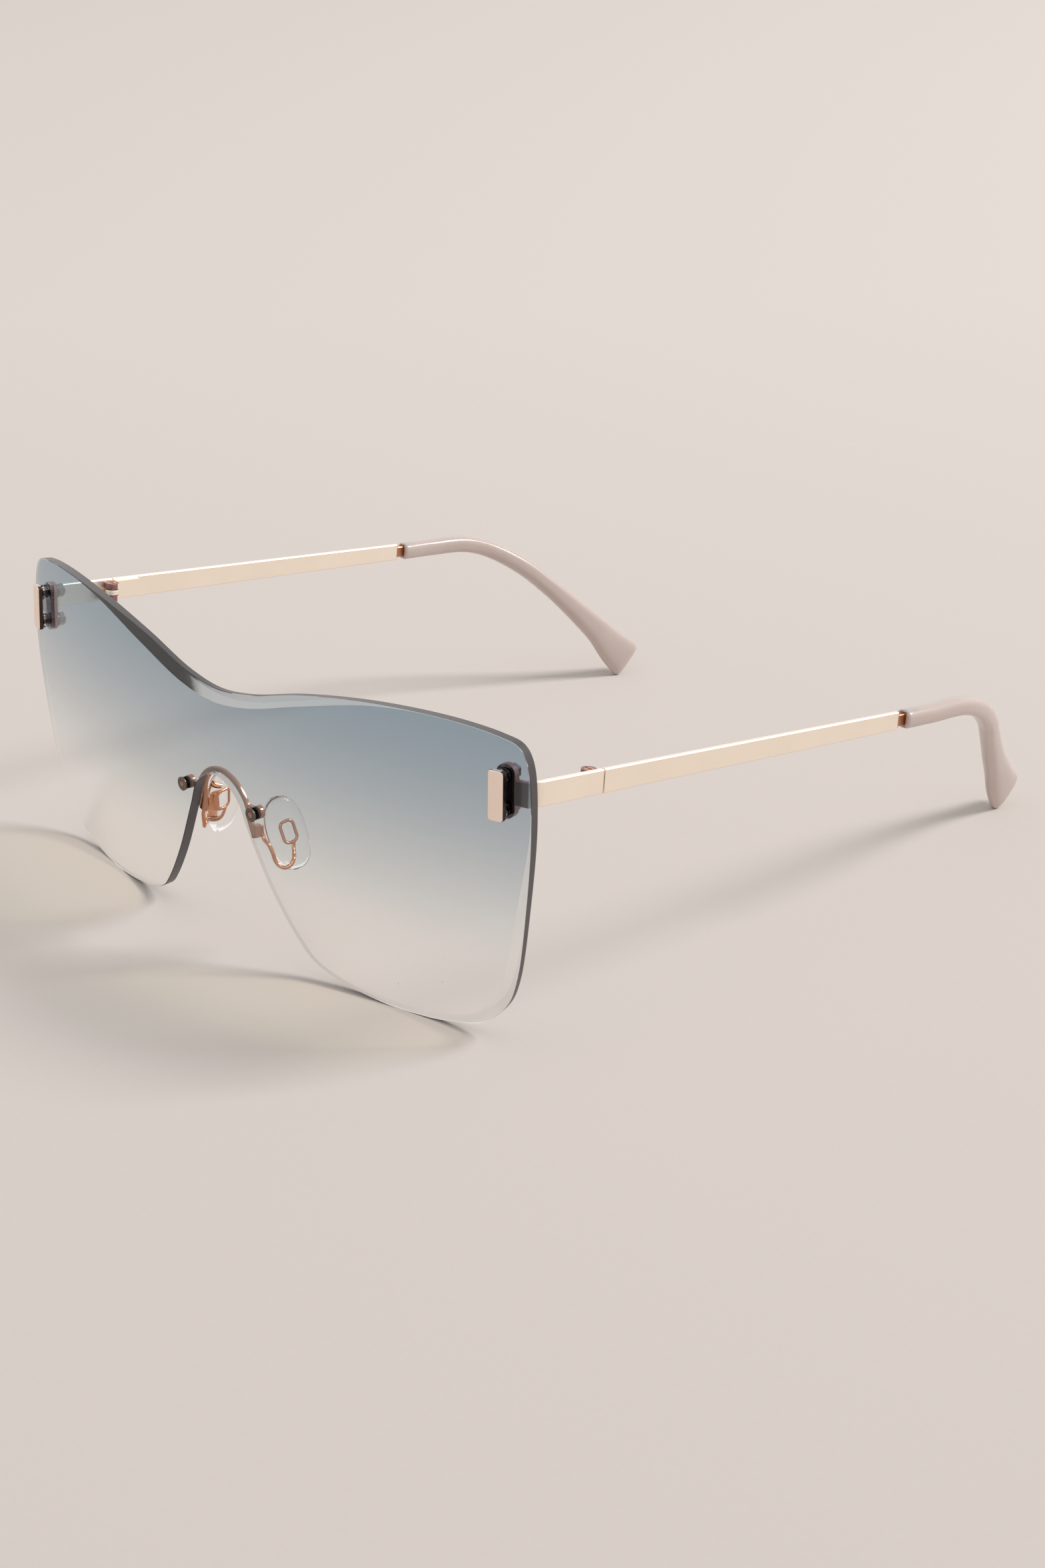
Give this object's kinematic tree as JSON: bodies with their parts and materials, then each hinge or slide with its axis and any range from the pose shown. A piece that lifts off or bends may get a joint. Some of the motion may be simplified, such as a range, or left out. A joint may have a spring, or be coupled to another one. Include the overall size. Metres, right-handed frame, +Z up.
{
  "type": "sunglasses",
  "caption": "Rimless shield sunglasses with a domed gradient lens, clamped metal end pieces, wire-held clear nose pads and slim folding temples with moulded tips.",
  "frame": {"origin": "middle of the underside of the bounding box, on the surface that the sunglasses rest on, temples open", "axes": "-Y is the way the lens faces, +Y runs back along the temples, +X is the wearer's left, +Z is up"},
  "size_m": [0.1456, 0.154, 0.0563],
  "materials": {
    "gold": "pale gold plating, satin polished",
    "rose_gold": "rose gold plating, polished",
    "steel": "bare, fine turned",
    "tinted_lens": "gradient tint, polished, edge ground dark and bright",
    "clear_plastic": "clear, soft gloss",
    "taupe_plastic": "moulded, glossy"
  },
  "bodies": {
    "front": {"lens": "tinted_lens", "front_plate_left": "gold", "front_plate_right": "gold", "bushing_upper_left": "clear_plastic", "bushing_upper_right": "clear_plastic", "bushing_lower_left": "clear_plastic", "bushing_lower_right": "clear_plastic", "washer_upper_left": "steel", "washer_upper_right": "steel", "washer_lower_left": "steel", "washer_lower_right": "steel", "nut_upper_left": "steel", "nut_upper_right": "steel", "nut_lower_left": "steel", "nut_lower_right": "steel", "end_piece_left": "gold", "end_piece_right": "gold", "hinge_screw_left": "rose_gold", "hinge_screw_right": "rose_gold", "nose_bridge": "rose_gold", "nose_bushing_left": "clear_plastic", "nose_bushing_right": "clear_plastic", "pad_arm_left": "rose_gold", "pad_arm_right": "rose_gold", "nose_pad_left": "clear_plastic", "nose_pad_right": "clear_plastic"},
    "left_temple": {"temple_bar_left": "gold", "temple_tip_left": "taupe_plastic"},
    "right_temple": {"temple_bar_right": "gold", "temple_tip_right": "taupe_plastic"}
  },
  "joints": [
    {"name": "left_temple_fold", "type": "hinge", "parent": "front", "child": "left_temple", "pos_m": [0.06895, -0.05062, 0.04453], "axis": [0, 0.1184, 0.993], "range_deg": [0, 88]},
    {"name": "right_temple_fold", "type": "hinge", "parent": "front", "child": "right_temple", "pos_m": [-0.06895, -0.05062, 0.04453], "axis": [0, -0.1184, -0.993], "range_deg": [0, 81]}
  ]
}
